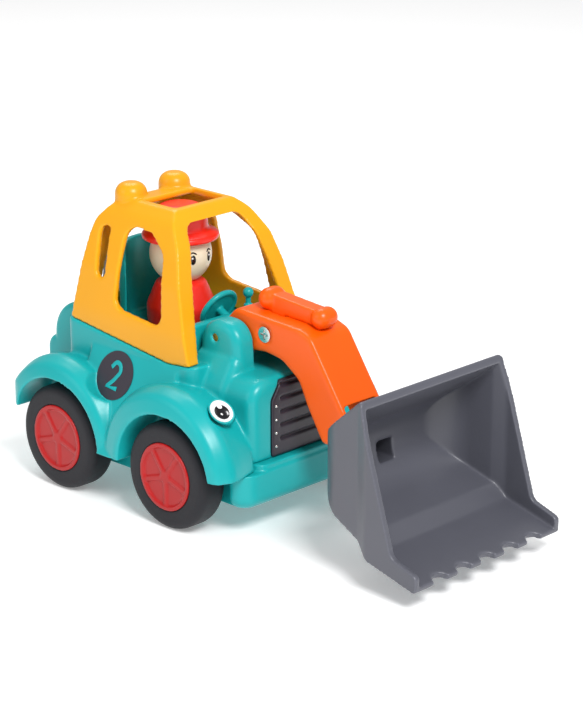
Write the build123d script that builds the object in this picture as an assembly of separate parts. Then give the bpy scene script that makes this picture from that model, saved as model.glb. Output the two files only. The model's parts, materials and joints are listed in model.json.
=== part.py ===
from build123d import *
import os
from math import atan2, cos, degrees, radians, sin, sqrt, tan

# Toy backhoe loader, millimetres.
# Working frame: +X forward, +Y to the driver's left, +Z up, zero at the centre of the rear axle.
# The last section moves everything so that the bounding box's bottom centre is the origin.

# ---------------------------------------------------------------- driving dimensions
wheelbase = 76.5
panel_half = 40.0          # body side panels, half of the width over them
hood_half = 33.0
moulding_wall = 2.6
slack = 0.3                # gap between moulded faces that move past each other

tyre_diameter = 52.0
tyre_width = 16.5
tyre_gap = 1.2             # side panel to tyre
hub_diameter = 33.0
axle_diameter = 4.0
bearing_clearance = 0.05   # radial, steel in moulded bores that turn

arch_gap = 4.5             # tyre tread to wheel arch
fender_bulge = 20.0        # mudguard lip, outside the side panel
front_crown = 42.0         # mudguard hump, from its centre
rear_crown = 40.0
flare_top = 47.0           # where the side panel starts to slope outwards
skirt = 0.4                # lower edge of the body between the wheels
badge_radius = 12.0
badge_thickness = 0.4

chassis_bottom = -14.0
chassis_top = 8.0
chassis_wall = 2.5
nose_reach = 38.5          # chassis nose ahead of the front axle
nose_half = 43.0

seam_rear = 56.4           # yellow cab on teal tub, heights of the joint line
seam_low = 47.5
seam_front = 50.0
cabin_floor = 48.0
tub_rear = -12.0

cab_top = 115.7
cab_wall = 3.0
beacon_radius = 7.9
beacon_height = 6.8
beacon_spacing = 28.6

hood_top = 47.0
hood_reach = 33.5          # grille face ahead of the front axle
grille_half = 20.0
grille_thickness = 3.0
grille_slots = 5
slot_pitch = 6.6

pin_diameter = 4.0
arm_half = 13.5
arm_wall = 2.7
tower_thickness = 11.0
tower_top = 8.6            # above the arm hinge
shoulder_bulge = 1.0       # foot of the tower, outside the hood
hinge_x = 0.5              # ahead of the front axle
hinge_z = 61.0
bucket_pin_x = 68.0        # from the arm hinge
bucket_pin_z = -33.0

bucket_half = 49.8
bucket_wall = 3.0
bucket_hole = 10.0
tooth_count = 6
notch_radius = 4.9
rim_corner = 7.0           # top corners of the bucket's mouth

screw_shank = 2.6
screw_head = 6.4

driver_x = 28.5
driver_radius = 17.0
head_radius = 15.2
hat_brim = 18.8
hat_height = 16.9

hoe_gap = 14.0             # half of the slot between the rear ears
hoe_ear = 12.0
boom_half = 8.0
boom_wall = 2.8
boom_length = 40.0
boom_lean = 6.0            # the folded boom leans this far towards the cab
stick_drop = 31.0          # folded stick, pivot to pivot
stick_reach = 17.0
hoe_bucket_half = 12.0

# ---------------------------------------------------------------- derived values
tyre_radius = tyre_diameter / 2
hub_radius = hub_diameter / 2
axle_radius = axle_diameter / 2
pin_radius = pin_diameter / 2
running_bore = pin_radius + bearing_clearance
tyre_inner = panel_half + tyre_gap
tyre_outer = tyre_inner + tyre_width
hub_face = tyre_outer + 0.4
arch_radius = tyre_radius + arch_gap
fender_face = panel_half + fender_bulge
lip_radius = arch_radius + 1.0
chassis_half = panel_half - moulding_wall - 0.9
hood_front = wheelbase + hood_reach
arm_hinge = (wheelbase + hinge_x, hinge_z)
bucket_pivot = (arm_hinge[0] + bucket_pin_x, arm_hinge[1] + bucket_pin_z)
tower_inner = arm_half + slack
tower_outer = tower_inner + tower_thickness
boom_pivot = (tub_rear - 8.2, 41.0)
stick_pivot = (boom_pivot[0] + boom_lean, boom_pivot[1] + boom_length)
stick_knee = (stick_pivot[0] - 5.3, stick_pivot[1] - 0.6 * stick_drop)
hoe_bucket_pivot = (stick_pivot[0] - stick_reach, stick_pivot[1] - stick_drop)
axle_places = (0.0, wheelbase)
overall = 400.0            # longer than the toy, for cutting tools


# ---------------------------------------------------------------- helpers
def outline_xz(points, radius=0):
    return make_face(FilletPolyline(*[(x, 0, z) for x, z in points], radius=radius, close=True))


def outline_yz(points, radius=0):
    return make_face(FilletPolyline(*[(0, y, z) for y, z in points], radius=radius, close=True))


def along_y(points, y_low, y_high, radius=0):
    face = Pos(0, y_low, 0) * outline_xz(points, radius)
    return extrude(face, amount=y_high - y_low, dir=(0, 1, 0))


def along_x(points, x_low, x_high, radius=0):
    face = Pos(x_low, 0, 0) * outline_yz(points, radius)
    return extrude(face, amount=x_high - x_low, dir=(1, 0, 0))


def block(x, y, z):
    """Box from (low, high) pairs."""
    size = Box(x[1] - x[0], y[1] - y[0], z[1] - z[0])
    return Pos((x[0] + x[1]) / 2, (y[0] + y[1]) / 2, (z[0] + z[1]) / 2) * size


def rod_y(place, radius, y_low, y_high):
    """Round bar across the toy, at place = (x, z)."""
    bar = Rot(90, 0, 0) * Cylinder(radius, y_high - y_low)
    return Pos(place[0], (y_low + y_high) / 2, place[1]) * bar


def rod_z(x, y, radius, z_low, z_high):
    return Pos(x, y, (z_low + z_high) / 2) * Cylinder(radius, z_high - z_low)


def turned_y(points, place, radius=0):
    """Solid of revolution about a crosswise axis; points are (y, distance from the axis)."""
    profile = make_face(FilletPolyline(*[(r, y, 0) for y, r in points], radius=radius, close=True))
    return Pos(place[0], 0, place[1]) * revolve(profile, Axis.Y)


def turned_z(points, x, y, radius=0):
    profile = make_face(FilletPolyline(*[(r, 0, z) for r, z in points], radius=radius, close=True))
    return Pos(x, y, 0) * revolve(profile, Axis.Z)


def both_sides(shape):
    return shape + mirror(shape, Plane.XZ)


# ---------------------------------------------------------------- running gear
def axle(place_x):
    return rod_y((place_x, 0), axle_radius, -hub_face + 1.6, hub_face - 1.6)


def hub(place_x, side):
    """Spool with a dished outer face, a raised rim and five raised spokes."""
    y_in = tyre_inner - 0.2
    section = [
        (y_in, axle_radius),
        (y_in, 7.0),
        (tyre_inner + 4.0, 7.0),
        (tyre_inner + 4.0, hub_radius - 3.0),
        (hub_face - 4.0, hub_radius - 3.0),
        (hub_face - 4.0, hub_radius),
        (hub_face, hub_radius),
        (hub_face, hub_radius - 2.0),
        (hub_face - 1.2, hub_radius - 2.4),
        (hub_face - 1.2, 3.2),
        (hub_face - 0.4, 3.0),
        (hub_face - 0.4, 0.0),
        (hub_face - 1.6, 0.0),
        (hub_face - 1.6, axle_radius),
    ]
    body = turned_y(section, (0, 0))
    spoke = block((2.0, hub_radius - 2.2), (hub_face - 1.4, hub_face - 0.5), (-1.1, 1.1))
    for index in range(5):
        body += Rot(0, 90 + index * 72, 0) * spoke
    return Pos(place_x, 0, 0) * (body if side > 0 else mirror(body, Plane.XZ))


def tyre(place_x, side):
    """Smooth rubber tyre with full shoulders, seated on the hub's spool."""
    seat = hub_radius - 3.0
    section = [
        (tyre_inner, 8.0),
        (tyre_inner, tyre_radius),
        (tyre_outer, tyre_radius),
        (tyre_outer, hub_radius),
        (hub_face - 4.0, hub_radius),
        (hub_face - 4.0, seat),
        (tyre_inner + 4.0, seat),
        (tyre_inner + 4.0, 8.0),
    ]
    body = turned_y(section, (place_x, 0), radius=[0, 5.0, 4.0, 0, 0, 0, 0, 0])
    return body if side > 0 else mirror(body, Plane.XZ)


# ---------------------------------------------------------------- chassis
screw_places = [(x, y) for x in (22.0, wheelbase - 22.0) for y in (-24.0, 24.0)]


def chassis_base():
    rear = tub_rear - 10.0
    nose = wheelbase + nose_reach
    tray = block((rear, nose - 12.0), (-chassis_half, chassis_half), (chassis_bottom, chassis_top))
    tray = fillet(tray.edges().group_by(Axis.Z)[0].group_by(Axis.X)[0], 5.0)
    cavity = block((rear + chassis_wall, nose - 16.0),
                   (-chassis_half + chassis_wall, chassis_half - chassis_wall),
                   (chassis_bottom + chassis_wall, chassis_top + 1.0))
    tray -= cavity
    clear_of_tyre = wheelbase + tyre_radius + 2.4
    bumper = block((0, nose), (-nose_half, nose_half), (chassis_bottom + 1.5, 4.8))
    bumper = fillet(bumper.edges().filter_by(Axis.Z).group_by(Axis.X)[-1], 9.0)
    bumper = fillet(bumper.edges().group_by(Axis.Z)[0], 6.0)
    bumper &= (block((clear_of_tyre, nose), (-nose_half, nose_half), (-overall, overall))
               + block((nose - 16.0, nose), (-chassis_half, chassis_half), (-overall, overall)))
    ledge = block((nose - 16.0, nose - 0.8), (-hood_half + 1.3, hood_half - 1.3), (0, chassis_top))
    body = tray + bumper + fillet(ledge.edges().filter_by(Axis.Z), 5.0)
    for place_x in axle_places:
        for side in (-1, 1):
            y_edge = side * chassis_half
            saddle = block((place_x - 6.0, place_x + 6.0),
                           (min(y_edge, y_edge - side * 9.0), max(y_edge, y_edge - side * 9.0)),
                           (chassis_bottom, chassis_top - 1.0))
            body += saddle
        body -= rod_y((place_x, 0), axle_radius + bearing_clearance, -panel_half, panel_half)
    for x, y in screw_places:
        post = rod_z(x, y, 4.6, chassis_bottom, chassis_top - 2.0)
        body += post
        body -= rod_z(x, y, screw_shank / 2 + 0.2, chassis_bottom - 1.0, chassis_top)
        body -= rod_z(x, y, screw_head / 2 + 0.3, chassis_bottom - 1.0, chassis_bottom + 6.0)
    return body


def chassis_screws():
    screws = []
    for x, y in screw_places:
        head = rod_z(x, y, screw_head / 2, chassis_bottom + 3.6, chassis_bottom + 6.0)
        shank = rod_z(x, y, screw_shank / 2, chassis_bottom + 6.0, chassis_top + 10.0)
        drive = Pos(x, y, chassis_bottom + 3.6) * (Box(3.6, 0.9, 2.4) + Box(0.9, 3.6, 2.4))
        screws.append(head + shank - drive)
    return screws


# ---------------------------------------------------------------- teal body
def seam_line(gap=0.0):
    """Top edge of the tub and bottom edge of the cab, rear to front."""
    return [
        (tub_rear - 20.0, seam_rear + gap),
        (tub_rear, seam_rear + gap),
        (wheelbase - 16.5, seam_low + gap),
        (wheelbase + 20.0, seam_front + gap + 0.6),
    ]


def above_seam(gap=0.0):
    line = seam_line(gap)
    return along_y(line + [(line[-1][0], overall), (line[0][0], overall)], -overall, overall)


def mudguard(place_x, lean, crown):
    """Round-shouldered hump over one left wheel; lean moves its centre along the toy."""
    section = [(hood_half - 1.0, 0), (hood_half - 1.0, crown - 4.0), (panel_half + 3.0, crown - 1.0),
               (panel_half + 10.0, crown + 0.5), (fender_face - 2.0, crown - 3.0),
               (fender_face, lip_radius - 1.0), (fender_face, 0)]
    return turned_y(section, (place_x + lean, 0), radius=[0, 2.0, 8.0, 8.0, 5.0, 3.0, 0])


def flare(x_low, x_high):
    """Side panel that slopes outwards between the wheels."""
    face = [(hood_half - 1.0, skirt), (hood_half - 1.0, flare_top), (panel_half, flare_top),
            (fender_face, skirt)]
    return along_x(face, x_low, x_high)


def fenders():
    """Mudguards and flares, trimmed to their lower edges and rounded at the rear corners."""
    left = mudguard(0, -1.5, rear_crown) + mudguard(wheelbase, -3.0, front_crown)
    left += flare(8.0, wheelbase - 8.0)
    trim = block((-overall, overall), (0, overall), (-overall, skirt))
    trim += block((-overall, 0), (0, overall), (-overall, 9.3))
    trim += block((wheelbase, overall), (0, overall), (-overall, 5.0))
    trim += badge_pad(badge_radius + 0.5, fender_bulge)
    plan = [(-38.0, 0), (-38.0, fender_face), (overall, fender_face), (overall, 0)]
    plan = Pos(0, 0, -overall / 2) * make_face(FilletPolyline(*plan, radius=[0, 16.0, 0, 0], close=True))
    left &= extrude(plan, amount=overall)
    return both_sides(left - trim)


def wheel_arches():
    cut = None
    for place_x in axle_places:
        for side in (-1, 1):
            y_low, y_high = sorted((side * (panel_half - 0.4), side * (fender_face + 5.0)))
            well = rod_y((place_x, 0), arch_radius, y_low, y_high)
            cut = well if cut is None else cut + well
    return cut


def body_shell():
    front = wheelbase + 1.5
    tub = block((tub_rear, front), (-panel_half, panel_half), (skirt + 2.6, seam_rear + 6.0))
    tub = fillet(tub.edges().filter_by(Axis.Z), 6.0)
    hood = block((front - 12.0, hood_front), (-hood_half, hood_half), (chassis_top, hood_top))
    hood = fillet(hood.edges().group_by(Axis.Z)[-1].filter_by(Axis.X), 11.0)
    hood = fillet(hood.edges().group_by(Axis.X)[-1].filter_by(Axis.Z), 5.0)
    deck_rear = tub_rear - 31.0
    deck_half = hoe_gap + hoe_ear
    deck = along_y([(deck_rear, chassis_top), (deck_rear, 37.5), (tub_rear + 4.0, 37.5),
                    (tub_rear + 4.0, chassis_top)], -deck_half, deck_half, radius=[2.0, 7.0, 0, 0])
    ears = rod_y((tub_rear - 7.0, 39.0), 18.5, -deck_half, deck_half)
    rear = deck + ears
    rear -= block((deck_rear - 5.0, tub_rear), (-hoe_gap, hoe_gap), (18.0, overall))
    rear = fillet(rear.edges().group_by(Axis.Y)[0], 3.0)
    rear = fillet(rear.edges().group_by(Axis.Y)[-1], 3.0)
    rear -= block((tub_rear, overall), (-hoe_gap, hoe_gap), (18.0, overall))

    body = tub - above_seam()
    body += hood
    body += fenders()
    body += rear
    body += towers()

    under = block((tub_rear + moulding_wall, front - moulding_wall),
                  (-panel_half + moulding_wall, panel_half - moulding_wall),
                  (-overall, cabin_floor - moulding_wall))
    inner_half = hood_half - moulding_wall
    under += block((front - 12.0, hood_front - 4.6), (-inner_half, inner_half),
                   (-overall, hood_top - 11.0))
    under += block((tub_rear - 16.0, wheelbase + 27.0),
                   (-panel_half + moulding_wall, panel_half - moulding_wall), (-overall, 16.0))
    for place_x in axle_places:
        under += block((place_x - axle_diameter, place_x + axle_diameter),
                       (-panel_half - 1.0, panel_half + 1.0), (-overall, axle_diameter))
    under += block((deck_rear + 4.0, tub_rear + 5.0), (-deck_half + 4.0, deck_half - 4.0),
                   (-overall, 15.0))
    cabin = block((tub_rear + moulding_wall, front - moulding_wall),
                  (-panel_half + moulding_wall, panel_half - moulding_wall),
                  (cabin_floor, overall))
    cabin &= block((-overall, wheelbase - 12.0), (-overall, overall), (-overall, overall))
    body -= under
    body -= cabin
    body -= wheel_arches()
    for x, y in screw_places:
        boss = rod_z(x, y, 4.0, chassis_top - 2.0, cabin_floor - 1.0)
        body += boss
        body -= rod_z(x, y, screw_shank / 2, chassis_top - 3.0, chassis_top + 16.0)
    body -= rod_y(boom_pivot, pin_radius, -deck_half - 1.0, deck_half + 1.0)
    body -= rod_y(arm_hinge, pin_radius, -tower_outer - 1.0, tower_outer + 1.0)
    body -= grille_pocket()
    for eye in eye_inserts():
        body -= eye
    return body


def towers():
    """Two rounded ears that carry the loader arm."""
    x, z = arm_hinge
    ear = along_y([(x - 10.8, hood_top - 22.0), (x - 10.8, z + tower_top), (x + 14.8, z + tower_top),
                   (x + 18.0, hood_top - 22.0)], tower_inner, tower_outer,
                  radius=[0, 12.5, 11.0, 0])
    ear = fillet(ear.edges().group_by(Axis.Y)[-1], 4.5)
    ear = fillet(ear.edges().group_by(Axis.Y)[0], 1.2)
    shoulder_face = hood_half + shoulder_bulge
    shoulder = along_x([(tower_inner + 2.0, hood_top - 22.0), (tower_inner + 2.0, hood_top),
                        (tower_outer - 1.0, hood_top + 10.0), (shoulder_face, hood_top - 7.0),
                        (shoulder_face, hood_top - 22.0)],
                       x - 10.0, x + 16.5, radius=[0, 0, 4.0, 8.0, 0])
    shoulder = fillet(shoulder.edges().group_by(Axis.X)[-1].group_by(Axis.Y)[-1], 5.0)
    return both_sides(ear + shoulder)


def grille_outline(grow=0.0):
    half = grille_half + grow
    low = chassis_top + 0.6 - grow
    high = hood_top - 1.8 + grow
    return [(-half, low), (half, low), (half, high - 9.0), (half - 6.0, high),
            (-half + 6.0, high), (-half, high - 9.0)]


def grille_pocket():
    return along_x(grille_outline(0.15), hood_front - 2.4, hood_front + 5.0)


def front_grille():
    plate = along_x(grille_outline(), hood_front - 2.4, hood_front - 2.4 + grille_thickness, radius=1.0)
    face = hood_front - 2.4 + grille_thickness
    first = chassis_top + 8.0
    for index in range(grille_slots):
        z = first + index * slot_pitch
        slot = block((face - 1.3, face + 1.0), (-grille_half + 5.0, grille_half - 5.0), (z, z + 1.7))
        plate -= slot
    return plate


def grille_rivets():
    face = hood_front - 2.4 + grille_thickness
    rivets = []
    for side in (-1, 1):
        for index in range(4):
            z = chassis_top + 5.5 + index * slot_pitch
            dome = Sphere(1.1) & block((0, 2.0), (-2.0, 2.0), (-2.0, 2.0))
            rivets.append(Pos(face, side * (grille_half - 2.5), z) * dome)
    return rivets


# ---------------------------------------------------------------- yellow cab
def cab_block(inset):
    """Cab outside, or its inside when inset by the wall, with gently domed faces."""
    low = cabin_floor - 6.0
    front = [(0.2, low), (-12.9, 86.0), (-17.2, 99.3), (-25.0, 109.5), (-31.0, cab_top)]
    rear = [(8.0, cab_top), (-1.4, 105.0), (-3.2, 92.0), (-9.4, 50.0), (-9.9, low)]
    side = [(wheelbase + x - inset, min(z, cab_top - inset)) for x, z in front]
    side += [(x + inset, min(z, cab_top - inset)) for x, z in rear]
    profile = along_y(side, -overall / 4, overall / 4,
                      radius=[0, 20.0, 16.0, 10.0, 4.0, 8.0, 8.0, 20.0, 10.0, 0])
    half = [(39.9, low), (38.9, 61.0), (35.4, 83.5), (31.3, 98.4), (25.6, 110.3), (19.0, cab_top)]
    half = [(y - inset, min(z, cab_top - inset)) for y, z in half]
    section = half + [(-y, z) for y, z in reversed(half)]
    turns = [0, 40.0, 40.0, 35.0, 14.0, 5.0]
    width = along_x(section, -overall / 4, overall / 2, radius=turns + turns[::-1])
    return profile & width


def cab_windows():
    x = wheelbase
    large = [(21.3, 66.8), (22.0, 105.5), (x - 38.5, 105.2), (x - 26.7, 97.0), (x - 21.9, 63.2)]
    small = [(4.0, 102.5), (10.8, 103.2), (13.0, 79.0), (7.0, 79.0)]
    cut = along_y(large, -overall / 4, overall / 4, radius=[6.0, 6.0, 6.0, 7.0, 5.0])
    cut += along_y(small, -overall / 4, overall / 4, radius=2.8)
    half = [(16.9, 109.7), (21.7, 99.3), (25.4, 86.0), (29.7, 64.4), (34.0, cabin_floor - 7.0)]
    shield = [(-y, z) for y, z in half] + half[::-1]
    turns = [6.5, 20.0, 25.0, 20.0, 0]
    cut += along_x(shield, driver_x + 6.0, overall / 4, radius=turns + turns[::-1])
    rear = [(-17.0, 103.0), (17.0, 103.0), (25.0, 64.0), (-25.0, 64.0)]
    cut += along_x(rear, -overall / 8, 12.0, radius=[7.0, 7.0, 6.0, 6.0])
    cut += fillet(block((20.3, x - 34.1), (-16.1, 16.1), (cab_top - 8.0, cab_top + 8.0))
                  .edges().filter_by(Axis.Z), 1.5)
    return cut


def cab_shell():
    shell = cab_block(0.0) - cab_block(cab_wall) - cab_windows()
    shell &= above_seam(0.15)
    for side in (-1, 1):
        y = side * beacon_spacing / 2
        lamp = turned_z([(0, cab_top - 5.5), (beacon_radius, cab_top - 5.5),
                         (beacon_radius, cab_top + beacon_height), (0, cab_top + beacon_height)],
                        9.5, y, radius=[0, 0, 5.8, 0])
        shell += lamp - cab_block(cab_wall)
    return shell


# ---------------------------------------------------------------- cabin
def seat():
    """Round cushion with a socket for the driver and a curved, tall back."""
    back_x = driver_x - 4.5
    outer = 27.0
    inner = 23.6
    base = turned_z([(0, cabin_floor), (22.0, cabin_floor), (22.0, cabin_floor + 5.0),
                     (0, cabin_floor + 5.0)], driver_x, 0, radius=[0, 0, 1.5, 0])
    socket = rod_z(driver_x, 0, driver_radius + 0.3, cabin_floor + 2.0, cabin_floor + 9.0)
    back = rod_z(back_x, 0, outer, cabin_floor, 91.5) - rod_z(back_x, 0, inner, -overall, overall)
    shape = along_x([(-20.5, cabin_floor), (20.5, cabin_floor), (19.0, 91.5), (-19.0, 91.5)],
                    back_x - 40.0, back_x - 8.0, radius=[0, 0, 12.0, 12.0])
    back &= shape
    foot = block((back_x - outer + 1.0, driver_x - 14.0), (-16.0, 16.0),
                 (cabin_floor, cabin_floor + 5.0))
    foot &= rod_z(back_x, 0, outer - 1.0, -overall, overall)
    return base + foot + back - socket


wheel_tilt = 62.0
wheel_centre = (wheelbase - 22.0, 65.0)
column_bore = 2.0


def dashboard():
    """Console across the cabin with a boss that takes the steering column."""
    low, high = cabin_floor, 64.0
    back, front = wheelbase - 18.0, wheelbase - 12.4
    body = along_y([(back - 2.0, low), (front, low), (front, high), (back + 1.0, high)],
                   -25.0, 25.0, radius=[0, 0, 1.2, 2.0])
    body -= steering_column(bearing_clearance)
    body -= rod_z(wheelbase - 14.8, 13.0, 1.3 + bearing_clearance, high - 6.0, high + 5.0)
    return body


def steering_column(grow=0.0):
    column = Cylinder(column_bore + grow, 13.0 + grow)
    column = Pos(0, 0, -6.5) * column
    return Pos(wheel_centre[0], 0, wheel_centre[1]) * Rot(0, -wheel_tilt, 0) * column


def steering_wheel():
    ring = Torus(9.7, 1.4)
    dish = Cylinder(9.7, 1.4)
    cap = Pos(0, 0, 0.4) * Cylinder(2.8, 2.4)
    wheel = ring + dish + cap
    return Pos(wheel_centre[0], 0, wheel_centre[1]) * Rot(0, -wheel_tilt, 0) * wheel + steering_column()


lever_place = (wheelbase - 14.8, 13.0)


def control_lever():
    x, y = lever_place
    stem = rod_z(x, y, 1.3, 59.0, 70.5)
    collar = rod_z(x, y, 2.2, 64.0 + slack, 66.2)
    knob = Pos(x, y, 71.8) * Sphere(2.6)
    return stem + collar + knob


def driver_body():
    low = cabin_floor + 2.0
    top = low + shoulder_height
    return turned_z([(0, low), (driver_radius - 0.4, low), (driver_radius, low + 12.5),
                     (12.2, top - 1.5), (7.5, top), (0, top)],
                    driver_x, 0, radius=[0, 1.0, 6.0, 3.0, 1.0, 0])


shoulder_height = 25.5
head_height = cabin_floor + 40.0


def driver_head():
    ball = Pos(driver_x, 0, head_height) * Sphere(head_radius)
    return ball - block((-overall, overall), (-overall, overall), (-overall, cabin_floor + 2.0 + shoulder_height))


def driver_hat():
    low = head_height + 7.6
    top = low + hat_height
    hat = turned_z([(0, low), (hat_brim, low), (hat_brim, low + 2.8), (13.6, low + 4.8),
                    (12.8, top), (0, top)],
                   driver_x, 0, radius=[0, 1.2, 1.2, 2.0, 6.5, 0])
    return hat - Pos(driver_x, 0, head_height) * Sphere(head_radius)


# ---------------------------------------------------------------- loader
def arm_points():
    x, z = arm_hinge
    top = [(-6.8, -2.5), (-5.0, 5.0), (2.5, 12.8), (43.0, 10.8), (51.0, 8.0), (72.0, -23.0),
           (76.0, -33.0), (70.0, -41.0), (58.5, -41.0), (48.9, -25.4), (43.4, -14.0),
           (32.7, -6.7), (22.0, -5.0), (3.0, -7.2), (-4.0, -6.8)]
    return [(x + dx, z + dz) for dx, dz in top]


def loader_arm():
    x, z = arm_hinge
    radii = [2.5, 4.0, 6.0, 10.0, 8.0, 10.0, 6.0, 6.0, 3.0, 10.0, 9.0, 10.0, 10.0, 5.0, 2.5]
    arm = along_y(arm_points(), -arm_half, arm_half, radius=radii)
    arm = fillet(arm.edges().group_by(Axis.Y)[0], 1.6)
    arm = fillet(arm.edges().group_by(Axis.Y)[-1], 1.6)
    web = arm_wall + 0.3
    inner = [(-20.0, -2.0), (6.0, 12.8 - web), (42.0, 10.8 - web), (49.0, 7.2 - web),
             (66.5, -21.0), (100.0, -21.0), (100.0, -60.0), (40.0, -60.0), (20.0, -20.0),
             (-20.0, -20.0)]
    half = arm_half - arm_wall
    arm -= along_y([(x + dx, z + dz) for dx, dz in inner], -half, half,
                   radius=[0, 3.0, 5.0, 4.0, 0, 0, 0, 0, 0, 0])
    boss = rod_y(arm_hinge, 6.0, -half, half)
    arm += boss - rod_y(arm_hinge, running_bore, -half, half)
    arm -= rod_y(arm_hinge, running_bore, -arm_half - 1.0, arm_half + 1.0)
    arm -= rod_y(bucket_pivot, pin_radius, -arm_half - 1.0, arm_half + 1.0)
    arm -= rod_y(ram_screw_place, 4.3, -arm_half - 1.0, -arm_half + 1.4)
    arm -= rod_y(ram_screw_place, screw_shank / 2 + 0.1, -arm_half, arm_half - 1.2)
    arm -= ram_slot()
    return arm


ram_screw_place = (arm_hinge[0] + 21.5, arm_hinge[1] + 3.6)
ram_tongue_half = 4.2


def ram_slot():
    """Window in the arm's top where the cover's tongue drops in."""
    x, z = arm_hinge
    half = ram_tongue_half + 0.1
    return block((x + 17.0, x + 26.0), (-half, half), (z, z + 30.0))


def ram_cover():
    """Bar with two round lobes on the arm, like a hydraulic ram."""
    x, z = arm_hinge
    first = (x + 13.8, z + 17.2)
    second = (x + 47.5, z + 14.6)
    bar = along_y([(first[0], first[1] + 3.6), (second[0], second[1] + 3.6),
                   (second[0], z + 8.0), (first[0], z + 8.0)], -4.2, 4.2)
    for lobe, radius in ((first, 5.3), (second, 5.0)):
        bar += rod_y(lobe, radius, -1.8, 1.8)
        bar += both_sides(Pos(lobe[0], 1.8, lobe[1]) * Sphere(radius))
    bar -= along_y(arm_points(), -overall, overall,
                   radius=[2.5, 4.0, 6.0, 10.0, 8.0, 10.0, 6.0, 6.0, 3.0, 10.0, 9.0, 10.0, 10.0,
                           5.0, 2.5])
    tongue = block((x + 17.2, x + 25.8), (-ram_tongue_half, ram_tongue_half), (z - 1.0, z + 16.0))
    bar += tongue
    bar -= rod_y(ram_screw_place, screw_shank / 2, -overall, overall)
    return bar


def ram_screw():
    """Cross-head screw that ties the cover's tongue into the arm."""
    head = rod_y(ram_screw_place, 3.8, -arm_half + 0.1, -arm_half + 1.4)
    shank = rod_y(ram_screw_place, screw_shank / 2, -arm_half + 1.4, ram_tongue_half)
    x, z = ram_screw_place
    slot = Box(4.8, 1.2, 1.1) + Box(1.1, 1.2, 4.8)
    return head + shank - Pos(x, -arm_half + 0.3, z) * slot


def arm_pin():
    return rod_y(arm_hinge, pin_radius, -tower_outer + 0.8, tower_outer - 0.8)


def bucket_pin():
    return rod_y(bucket_pivot, pin_radius, -arm_half + 0.3, arm_half - 0.3)


def bucket_points(inset):
    """Side outline of the bucket; inset moves the back and floor inwards."""
    x, z = bucket_pivot
    back = [(14.5, 9.0), (14.5, -10.0), (23.0, -22.0), (45.0, -31.0), (51.0, -37.5)]
    moves = [(1.0, -0.35), (1.0, 0.15), (0.8, 0.6), (0.4, 0.9), (0.4, 0.9)]
    back = [(px + inset * mx, pz + inset * mz) for (px, pz), (mx, mz) in zip(back, moves)]
    rim = [(80.6, -45.0), (81.6, -37.0), (66.5, -32.0), (46.0, 35.0)]
    if inset:
        rim = [(92.0, -48.0 + inset), (92.0, 20.0), (60.0, 47.0), (46.0 + inset, 35.0 - inset)]
    return [(x + dx, z + dz) for dx, dz in back + rim]


def bucket_body(inset):
    x = bucket_pivot[0]
    half = bucket_half - inset
    if inset:
        turns = [14.0, 17.0, 24.0, 5.0, 4.0, 0, 0, 0, 0]
    else:
        turns = [16.0, 19.0, 27.0, 5.0, 4.0, 1.2, 3.0, 5.0, 1.5]
    profile = along_y(bucket_points(inset), -half, half, radius=turns)
    right = [(14.5 + inset, half - 6.5), (44.0, half - 2.6), (51.0, half), (120.0, half)]
    plan = [(x + dx, y) for dx, y in right]
    plan += [(px, -y) for px, y in reversed(plan)]
    turns = [18.0, 5.0, 5.0, 0]
    face = make_face(FilletPolyline(*plan, radius=turns + turns[::-1], close=True))
    top = bucket_pivot[1] + 35.0 - inset
    corner = rim_corner - 0.6 * inset
    mouth = along_x([(-half, -overall), (half, -overall), (half, top), (-half, top)],
                    -overall, overall, radius=[0, 0, corner, corner])
    return profile & mouth & Pos(0, 0, -overall / 2) * extrude(face, amount=overall)


def teeth_cuts():
    """Round notches between the teeth on the lip."""
    x, z = bucket_pivot
    pitch = 2 * (bucket_half - 1.5) / tooth_count
    cuts = None
    for index in range(1, tooth_count):
        y = -bucket_half + 1.5 + index * pitch
        notch = Pos(x + 81.4, y, z - 45.0) * Cylinder(notch_radius, 12.0)
        cuts = notch if cuts is None else cuts + notch
    return cuts


def loader_bucket():
    x, z = bucket_pivot
    bucket = bucket_body(0.0) - bucket_body(bucket_wall)
    bucket -= teeth_cuts()
    half = arm_half - arm_wall - slack
    lug = along_y([(x - 6.0, z - 6.0), (x + 8.0, z - 15.5), (x + 24.0, z - 21.6),
                   (x + 24.0, z + 10.0), (x - 6.0, z + 6.0)], -half, half, radius=[5.9, 4.0, 0, 0, 5.9])
    bucket += lug - bucket_body(0.2)
    bucket -= rod_y(bucket_pivot, running_bore, -arm_half, arm_half)
    bucket -= block((x + 6.0, x + 40.0), (-bucket_hole / 2, bucket_hole / 2),
                    (z - 7.4 - bucket_hole / 2, z - 7.4 + bucket_hole / 2))
    return bucket


# ---------------------------------------------------------------- backhoe
def bar_outline(start, end, width_start, width_end):
    """Straight tapered bar with square ends between two pivots."""
    dx, dz = end[0] - start[0], end[1] - start[1]
    length = sqrt(dx * dx + dz * dz)
    ux, uz = dx / length, dz / length
    corners = []
    for place, width, reach in ((start, width_start, -1), (end, width_end, 1)):
        for side in (reach, -reach):
            corners.append((place[0] + reach * ux * width + side * -uz * width,
                            place[1] + reach * uz * width + side * ux * width))
    return corners


def backhoe_boom():
    outline = bar_outline(boom_pivot, stick_pivot, 4.6, 4.0)
    boom = along_y(outline, -boom_half, boom_half, radius=3.7)
    boom = fillet(boom.edges().group_by(Axis.Y)[0], 0.8)
    boom = fillet(boom.edges().group_by(Axis.Y)[-1], 0.8)
    inner = boom_half - boom_wall
    boom -= block((-overall, overall), (-inner, inner), (boom_pivot[1] + 8.0, overall))
    foot = rod_y(boom_pivot, 5.0, -hoe_gap + slack, hoe_gap - slack)
    boom += foot
    boom -= rod_y(boom_pivot, running_bore, -hoe_gap, hoe_gap)
    boom -= rod_y(stick_pivot, pin_radius, -boom_half - 1.0, boom_half + 1.0)
    return boom


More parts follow.
